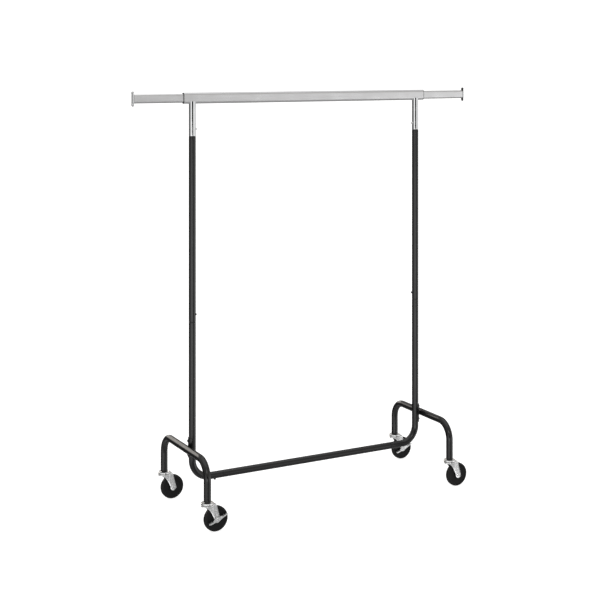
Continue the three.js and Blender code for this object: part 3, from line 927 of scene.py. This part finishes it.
def caster_stem(node, x, y):
    """Stem, race cap and the kingpin riveted under the crown."""
    corners = [
        (0, CROWN_Z - 4.6, 0),
        (5.6, CROWN_Z - 4.6, 1.4),
        (6.5, CROWN_Z - 2.5, 0.3),
        (4, CROWN_Z - 2.5, 0),
        (4, CAP_TOP_Z - 2.2, 0),
        (CAP_R - 2, CAP_TOP_Z - 2.2, 1.2),
        (CAP_R - 2, CROWN_Z + 1.7, 0.2),
        (CAP_R, CROWN_Z + 1.7, 0.3),
        (CAP_R, CAP_TOP_Z - 0.9, 2.2),
        (CAP_R - 4.5, CAP_TOP_Z, 1.2),
        (16.5, CAP_TOP_Z - 1.3, 1.2),
        (13.5, CAP_TOP_Z - 1.3, 1.2),
        (10, CAP_TOP_Z + 0.2, 0.8),
        (9, CAP_TOP_Z + 0.8, 0.4),
        (5, CAP_TOP_Z + 0.8, 0),
        (5, LEG_END_Z + 23, 0.8),
        (0, LEG_END_Z + 24, 0),
    ]
    piece(node, turned(rounded(corners, steps=4), (x, y, 0), (0, 0, 1), 56))


def ball_race(node, x, y):
    shape = Shape()
    z = CROWN_Z + 2.6
    for k in range(18):
        a = 2 * math.pi * k / 18
        centre = (x + 17 * math.cos(a), y + 17 * math.sin(a), z)
        ball = [(2.4 * math.sin(t), -2.4 * math.cos(t)) for t in np.linspace(0, math.pi, 9)]
        turned(ball, centre, (0, 0, 1), 12, shape=shape)
    piece(node, shape, crease=60)


def smoothstep(t):
    t = np.clip(t, 0, 1)
    return t * t * (3 - 2 * t)


LIP_COLUMNS, LEAD_COLUMNS, TIP_COLUMNS = 10, 26, 26
TIP_R = 12.0


def fork_half():
    """Columns down one side of the fork, from the front middle to the trailing edge.

    Each is (edge point in plan, outward direction in plan, (x, z) of its foot)."""
    lead_top = math.degrees(math.acos(LEAD_X / CROWN_R))
    flat_start = math.degrees(math.asin(CHEEK_OUT / CROWN_R))

    def on_crown(angle):
        a = math.radians(angle)
        normal = np.array([math.cos(a), math.sin(a)])
        return CROWN_R * normal, normal

    columns = []
    for k in range(LIP_COLUMNS):
        t = k / LIP_COLUMNS
        top, normal = on_crown(180 - 31 * t)
        foot, _ = on_crown(180 - (180 - lead_top) * t)
        columns.append((top, normal, np.array([foot[0], CROWN_Z - 6.2 + 1.5 * smoothstep(t)])))
    lead = []
    for t in np.linspace(0, 1, 40):
        a, b, c = np.array([LEAD_X, CROWN_Z - 4.7]), np.array([3, 94]), np.array([21.2, 50.4])
        lead.append((1 - t) ** 2 * a + 2 * t * (1 - t) * b + t * t * c)
    lead = np.array(lead)
    run = np.r_[0, np.cumsum(np.linalg.norm(np.diff(lead, axis=0), axis=1))]
    for k in range(LEAD_COLUMNS):
        t = k / LEAD_COLUMNS
        foot = [np.interp(t * run[-1], run, lead[:, i]) for i in (0, 1)]
        columns.append((*on_crown(149 - 87 * t), np.array(foot)))
    straight = CROWN_BACK - CROWN_R * math.cos(math.radians(flat_start))
    arc_length = math.radians(62 - flat_start) * CROWN_R
    for k in range(TIP_COLUMNS + 1):
        t = k / TIP_COLUMNS
        along = t * (arc_length + straight)
        if along < arc_length:
            top, normal = on_crown(62 - math.degrees(along / CROWN_R))
        else:
            flat_x = CROWN_R * math.cos(math.radians(flat_start)) + along - arc_length
            top, normal = np.array([flat_x, CHEEK_OUT]), np.array([0.0, 1.0])
        a = math.radians(160 + 209 * t)
        foot = np.array([TRAIL + TIP_R * math.cos(a), WHEEL_R + TIP_R * math.sin(a)])
        columns.append((top, normal, foot))
    return columns


def caster_fork(node, x, y):
    columns = fork_half()
    bend = 2.6
    skirt_rows = 26
    shape = Shape()
    edge_z = CROWN_Z - bend
    feet = np.array([c[2] for c in columns])
    trailing_top = np.array([columns[-1][0][0], edge_z])
    trailing = [trailing_top + (feet[-1] - trailing_top) * t for t in np.linspace(0, 1, 30)]
    rim = np.vstack([feet[LIP_COLUMNS:], np.array(trailing)[::-1]])

    lowest = int(feet[:, 1].argmin())
    leading = feet[LIP_COLUMNS : lowest + 1][::-1]
    leading_index = np.arange(LIP_COLUMNS, lowest + 1)[::-1]

    def rim_distance(px, z):
        d = rim - np.array([px, z])
        return math.sqrt((d * d).sum(1).min())

    def leading_limit(index, z):
        """Least x of a column at height z: columns stay in order behind the leading edge."""
        order = index - np.interp(z, leading[:, 1], leading_index)
        return np.interp(z, leading[:, 1], leading[:, 0]) + 12 * (1 - math.exp(-max(order, 0) / 9))

    def flank(px, fall):
        """Half width of the fork: the crown's edge at the top, easing to the flat cheek below."""
        edge = CHEEK_OUT if px > 0 else 0.0
        edge = max(edge, math.sqrt(max(CROWN_R**2 - px**2, 0.0)))
        if edge < PANEL_Y:
            return edge
        return PANEL_Y + (edge - PANEL_Y) * max(0.0, 1 - fall / 38) ** 2.2

    def column_points(index, top, normal, foot, mirror):
        points = []
        for inset, z in ((bend + 0.7, CROWN_Z), (bend, CROWN_Z)):
            points.append((top[0] - normal[0] * inset, top[1] - normal[1] * inset, z))
        for k in range(1, 6):
            a = math.pi / 2 * k / 5
            inset = bend * (1 - math.sin(a))
            z = CROWN_Z - bend * (1 - math.cos(a))
            points.append((top[0] - normal[0] * inset, top[1] - normal[1] * inset, z))
        for k in range(1, skirt_rows + 1):
            t = (k / skirt_rows) ** 1.05
            z = edge_z + (foot[1] - edge_z) * t
            px = top[0] + (foot[0] - top[0]) * t
            if index >= LIP_COLUMNS:
                px = max(px, leading_limit(index, z))
            fall = edge_z - z
            py = flank(px, fall)
            if foot[0] > LEAD_X + 0.1:
                swell = 0.7 * (1 - smoothstep(rim_distance(px, z) / 3.4))
                py += swell * smoothstep((fall - 4) / 10)
            points.append((px, py, z))
        return [(x + p[0], y + mirror * p[1], p[2]) for p in points]

    right = [column_points(index, *c, 1) for index, c in enumerate(columns)]
    left = [column_points(index, *c, -1) for index, c in enumerate(columns)][1:]
    skirt = left[::-1] + right
    rings = [shape.ring([column[k] for column in skirt]) for k in range(len(skirt[0]))]
    for a, b in zip(rings, rings[1:]):
        shape.bridge(a, b, wrap=False)
    back = 12
    first, last = np.array(skirt[0][0]), np.array(skirt[-1][0])
    back_points = [last + (first - last) * k / back for k in range(1, back)]
    back_ring = shape.ring(back_points)
    loop = rings[0] + back_ring
    hole = []
    for index in loop:
        p = np.array(shape.points[index])
        d = np.array([p[0] - x, p[1] - y])
        d = d / np.linalg.norm(d) * 4.4
        hole.append((x + d[0], y + d[1], CROWN_Z))
    hole_ring = shape.ring(hole)
    shape.bridge(hole_ring, loop)
    mesh = mesh_of(shape, f"{node}_skin", 50)
    work = bmesh.new()
    work.from_mesh(mesh)
    top = max(work.faces, key=lambda f: f.calc_center_median().z)
    if top.normal.z < 0:
        bmesh.ops.reverse_faces(work, faces=work.faces)
    work.to_mesh(mesh)
    work.free()
    obj = link(f"{node}_skin", mesh)
    thick = obj.modifiers.new("sheet", "SOLIDIFY")
    thick.thickness = SHEET * MM
    thick.offset = -1
    thick.use_even_offset = False
    kind, settings = softened_edges(0.4, 2, 50)
    m = obj.modifiers.new("edges", kind)
    for key, value in settings.items():
        setattr(m, key, value)
    obj.data.materials.append(FINISHES[SLOT_OF[node]])
    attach(obj, BODY_OF[node])
    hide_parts(node)


def axle(node, x, y, braked):
    """Rivet with a rounded, dimpled head at each end."""
    front = CHEEK_OUT + 2.6 if braked else PANEL_Y + 0.05
    back = PANEL_Y + 0.05

    def head(seat, way):
        corners = [
            (4, seat, 0),
            (6.4, seat, 0.2),
            (6.4, seat + 0.9, 0.8),
            (4.9, seat + 2.0, 1.2),
            (3.4, seat + 2.0, 0.4),
            (2.4, seat + 0.1, 0.5),
            (0, seat, 0),
        ]
        return [(r, way * h) for r, h in rounded(corners, steps=4)]

    profile = head(front, -1)[::-1] + head(back, 1)
    piece(node, turned(profile, (x, y, WHEEL_R), (0, 1, 0), 40))


def wheel(node, x, y):
    """Moulded wheel: long hub, dished web, raised shoulder and a lightly crowned tread."""
    half = [
        (6.2, 11.9, 0),
        (9.6, 11.9, 0.8),
        (10.6, 9.4, 1.2),
        (22, 8.9, 6),
        (36.8, 9.3, 1.6),
        (38.6, 10.5, 0.9),
        (41.8, 10.5, 2.5),
        (46.1, 6.8, 3.2),
        (WHEEL_R, 2.5, 8),
    ]
    mirrored = [(r, -h, f) for r, h, f in reversed(half)]
    profile = rounded(half + mirrored, closed=True, steps=5)
    piece(node, turned(profile, (x, y, WHEEL_R), (0, 1, 0), 96, closed=True))


def wheel_bush(node, x, y):
    profile = rounded(
        [(4.3, -12, 0.3), (6.0, -12, 0.4), (6.0, 12, 0.4), (4.3, 12, 0.3)], closed=True, steps=3
    )
    piece(node, turned(profile, (x, y, WHEEL_R), (0, 1, 0), 32, closed=True))


def brake_lever(node, x, y):
    """Flat lever with a boss round the rivet and a tread folded out along the top of each arm."""
    slope = math.radians(17)
    back, front = -(CHEEK_OUT + 0.3), -(CHEEK_OUT + 2.3)
    reach = 8.0

    def put(u, depth, v):
        return (
            x + u * math.cos(slope) - v * math.sin(slope),
            y + depth,
            WHEEL_R + u * math.sin(slope) + v * math.cos(slope),
        )

    boss = 10.5
    outline = [tuple(p) + (0,) for p in arc((0, 0), boss, 36, 155, 16)]
    outline += [(-17, 1, 3), (-36, 1, 0.6), (-36, -5.5, 2.5), (-30, -8.5, 3), (-13, -8.0, 4)]
    outline += [tuple(p) + (0,) for p in arc((0, 0), boss, 225, 306, 10)]
    outline += [(13.5, -6.4, 6), (36, -0.8, 5), (43, 1.5, 2), (43, 5.5, 0.6), (20, 5.5, 4)]
    flat = rounded(outline, closed=True, steps=4)
    shape = Shape()
    hole = [(4.15 * u / math.hypot(u, v), 4.15 * v / math.hypot(u, v)) for u, v in flat]
    walls = [(flat, back), (flat, front), (hole, front), (hole, back)]
    shape.loft([[put(u, d, v) for u, v in line] for line, d in walls], close=True)

    def tread(u0, u1, v):
        inner, outer = 0.8, 2.8
        edge = back - reach

        def fold(radius, start, end, steps):
            return [
                (back - outer + radius * math.cos(a), v - outer + radius * math.sin(a))
                for a in np.linspace(start, end, steps)
            ]

        section = [(back, v - 4), *fold(outer, 0, math.pi / 2, 7)]
        section += [(edge - 1, v), (edge - 2, v - 0.4), (edge - 2, v - 1.6), (edge - 1, v - 2)]
        section += [*fold(inner, math.pi / 2, 0, 5), (back - 2, v - 4)]
        rows = [
            [put(u0 + (u1 - u0) * t, d, h) for d, h in section] for t in (0, 0.03, 0.5, 0.97, 1)
        ]
        ends = shape.loft(rows)
        shape.fill(ends[0])
        shape.fill(ends[-1])

    tread(-36, -17, 1.0)
    tread(20, 43, 5.5)
    piece(node, shape, modifiers=[softened_edges(0.35, 2, 40)])


for end_name, end in ENDS.items():
    for side_name, side in SIDES.items():
        which = f"{end_name}_{side_name}"
        x, y = side * FRAME_X, end * LEG_Y
        leg_plug(f"leg_plug_{which}", x, y)
        caster_stem(f"caster_stem_{which}", x, y)
        ball_race(f"ball_race_{which}", x, y)
        caster_fork(f"caster_fork_{which}", x, y)
        axle(f"axle_{which}", x + TRAIL, y, which in BRAKED)
        wheel(f"wheel_{which}", x + TRAIL, y)
        wheel_bush(f"wheel_bush_{which}", x + TRAIL, y)
        if which in BRAKED:
            brake_lever(f"brake_lever_{which}", x + TRAIL, y)

for node in ("extension_glide_left", "extension_glide_right"):
    for s in frame["nodes"][node].material_slots:
        s.material = FINISHES[SLOT_OF[node]]


# ---- floor, light and camera ----
HEADING = 28.52

floor_material = bpy.data.materials.new("studio_floor")
floor_material.use_nodes = True
floor_shader = floor_material.node_tree.nodes["Principled BSDF"]
floor_shader.inputs["Base Color"].default_value = (0.60, 0.60, 0.60, 1)
floor_shader.inputs["Roughness"].default_value = 0.9
floor_shader.inputs["Specular IOR Level"].default_value = 0.1
floor_shader.inputs["Emission Color"].default_value = (1, 1, 1, 1)
floor_shader.inputs["Emission Strength"].default_value = 0.8
floor_shape = Shape()
FLOOR_HALF = 60000
floor_corners = ((-1, -1), (1, -1), (1, 1), (-1, 1))
floor_shape.fill(floor_shape.ring([(FLOOR_HALF * i, FLOOR_HALF * j, 0) for i, j in floor_corners]))
floor = link("floor", mesh_of(floor_shape, "floor"))
floor.data.materials.append(floor_material)
floor.visible_glossy = False

world = bpy.data.worlds.new("studio")
bpy.context.scene.world = world
world.use_nodes = True
sky = world.node_tree
sky.nodes.clear()


def sky_node(kind, **settings):
    node = sky.nodes.new(kind)
    for key, value in settings.items():
        setattr(node, key, value)
    return node


direction = sky_node("ShaderNodeTexCoord").outputs["Generated"]
heading = math.radians(HEADING)
towards = (-math.sin(heading), -math.cos(heading), 0)
rightwards = (math.cos(heading), -math.sin(heading), 0)


def component(axis):
    node = sky_node("ShaderNodeVectorMath", operation="DOT_PRODUCT")
    node.inputs[1].default_value = axis
    sky.links.new(direction, node.inputs[0])
    return node.outputs["Value"]


bearing = sky_node("ShaderNodeMath", operation="ARCTAN2")
sky.links.new(component(rightwards), bearing.inputs[0])
sky.links.new(component(towards), bearing.inputs[1])
turn = sky_node("ShaderNodeMapRange")
for socket, value in (("From Min", -math.pi), ("From Max", math.pi), ("To Min", 0), ("To Max", 1)):
    turn.inputs[socket].default_value = value
sky.links.new(bearing.outputs[0], turn.inputs["Value"])
FULL = 4.0
# Brightness of the tent that only reflections see, by bearing from the object's near side, left
# negative. Four bands, by how far the direction rises: foot level, below, at and above eye level.
# They are fitted to the view from HEADING, so this is not a plain studio light.
EYE_LEVEL = [
    (-180, 0.25),
    (-130, 0.14),
    (-105, 0.15),
    (-62, 0.22),
    (-42, 0.70),
    (-27, 1.40),
    (-15, 0.90),
    (-7, 0.02),
    (20, 0.015),
    (28, 0.06),
    (36, 0.30),
    (45, 0.92),
    (58, 0.94),
    (74, 0.84),
    (100, 0.70),
    (135, 0.62),
    (160, 0.45),
    (180, 0.25),
]
BELOW_EYE_LEVEL = [
    (-180, 0.06),
    (-130, 0.01),
    (-92, 0.01),
    (-72, 0.36),
    (-58, 0.62),
    (-42, 1.10),
    (-25, 1.95),
    (-8, 2.20),
    (8, 2.50),
    (20, 1.60),
    (30, 0.10),
    (44, 0.05),
    (52, 0.55),
    (60, 1.35),
    (76, 1.70),
    (92, 1.45),
    (118, 1.00),
    (140, 0.40),
    (165, 0.10),
    (180, 0.06),
]
ABOVE_EYE_LEVEL = [
    (-180, 0.50),
    (-168, 0.55),
    (-158, 3.40),
    (-128, 3.40),
    (-116, 0.50),
    (0, 0.50),
    (120, 0.60),
    (180, 0.50),
]
FOOT_LEVEL = [
    (-180, 0.10),
    (-130, 0.08),
    (-95, 0.10),
    (-75, 0.40),
    (-55, 1.00),
    (-38, 1.00),
    (-22, 0.60),
    (5, 0.35),
    (28, 0.16),
    (44, 0.26),
    (58, 0.45),
    (75, 0.70),
    (92, 0.75),
    (118, 0.50),
    (150, 0.15),
    (180, 0.10),
]


def band(levels, tint=(1, 1, 1)):
    node = sky_node("ShaderNodeValToRGB")
    ramp = node.color_ramp
    while len(ramp.elements) < len(levels):
        ramp.elements.new(0.5)
    for k, (bearing_deg, level) in enumerate(levels):
        ramp.elements[k].position = (bearing_deg + 180) / 360
        ramp.elements[k].color = (*(level * t / FULL for t in tint), 1)
    sky.links.new(turn.outputs["Result"], node.inputs["Fac"])
    return node.outputs["Color"]


def layered(lower, upper, z_low, z_high):
    """Sky that changes from one part to the next between two heights of its direction."""
    rise = sky_node("ShaderNodeMapRange", interpolation_type="SMOOTHSTEP")
    for socket, value in (("From Min", z_low), ("From Max", z_high), ("To Min", 0), ("To Max", 1)):
        rise.inputs[socket].default_value = value
    sky.links.new(component((0, 0, 1)), rise.inputs["Value"])
    mix = sky_node("ShaderNodeMix", data_type="RGBA")
    sky.links.new(rise.outputs["Result"], mix.inputs[0])
    for socket, part in ((6, lower), (7, upper)):
        if isinstance(part, float):
            mix.inputs[socket].default_value = (part / FULL,) * 3 + (1,)
        else:
            sky.links.new(part, mix.inputs[socket])
    return mix.outputs[2]


tent = layered(0.40, band(FOOT_LEVEL), -0.60, -0.42)
tent = layered(tent, band(BELOW_EYE_LEVEL), -0.285, -0.255)
tent = layered(tent, band(EYE_LEVEL), -0.072, -0.060)
tent = layered(tent, band(ABOVE_EYE_LEVEL, (1.0, 0.95, 0.89)), 0.10, 0.22)
tent = layered(tent, 0.50, 0.46, 0.54)
tent = layered(tent, 1.15, 0.78, 0.88)

lit = sky_node("ShaderNodeBackground")
lit.inputs["Strength"].default_value = FULL
sky.links.new(tent, lit.inputs["Color"])
plain = sky_node("ShaderNodeBackground")
plain.inputs["Color"].default_value = (1, 1, 1, 1)
plain.inputs["Strength"].default_value = 1.12
ray = sky_node("ShaderNodeLightPath")
either = sky_node("ShaderNodeMixShader")
sky.links.new(ray.outputs["Is Camera Ray"], either.inputs[0])
sky.links.new(lit.outputs[0], either.inputs[1])
sky.links.new(plain.outputs[0], either.inputs[2])
sky.links.new(either.outputs[0], sky_node("ShaderNodeOutputWorld").inputs["Surface"])


def softbox(name, place, aim, size, radiance):
    light = bpy.data.lights.new(name, "AREA")
    light.shape = "RECTANGLE"
    light.size, light.size_y = size
    light.energy = radiance * math.pi * size[0] * size[1]
    obj = bpy.data.objects.new(name, light)
    bpy.context.scene.collection.objects.link(obj)
    obj.location = place
    obj.rotation_euler = (Vector(aim) - Vector(place)).to_track_quat("-Z", "Y").to_euler()
    return obj


softbox("key", (-1.9, -5.1, 3.6), (0, 0, 0.8), (0.7, 1.6), 9)

camera_data = bpy.data.cameras.new("camera")
camera_data.sensor_width = 36
camera_data.lens = 77.87
camera_data.shift_y = -0.3984
camera_data.clip_end = 500
camera = bpy.data.objects.new("camera", camera_data)
bpy.context.scene.collection.objects.link(camera)
camera.location = (-2.5001, -4.5264, 1.7204)
camera.rotation_euler = (math.radians(90), 0, math.radians(-HEADING))
bpy.context.scene.camera = camera

bpy.context.scene.view_settings.view_transform = "Standard"
